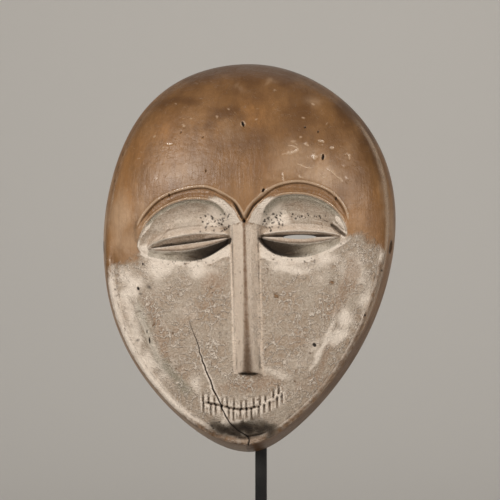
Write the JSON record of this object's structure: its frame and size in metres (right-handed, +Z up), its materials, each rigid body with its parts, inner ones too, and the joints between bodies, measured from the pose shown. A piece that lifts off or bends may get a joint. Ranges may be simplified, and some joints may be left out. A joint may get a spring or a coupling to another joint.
{
  "type": "carved wooden face mask on a stand",
  "caption": "Hollow egg-shaped wooden face mask with arched brows, slit eyes and a long straight nose, held up on a bent square bar with a flat foot.",
  "frame": {"origin": "middle of the foot's underside, on the surface it stands on", "axes": "+Z up the mask, -Y out of the face towards the viewer, +X to the viewer's right"},
  "size_m": [0.1666, 0.09, 0.3156],
  "materials": {
    "mask_wood": "hand-carved wood, worn and polished on the forehead and rim, with a pale worn clay coat on the face",
    "black_steel": "satin black paint on steel"
  },
  "bodies": {
    "root": {"mask": "mask_wood", "stand_rod": "black_steel", "stand_foot": "black_steel"}
  },
  "joints": []
}
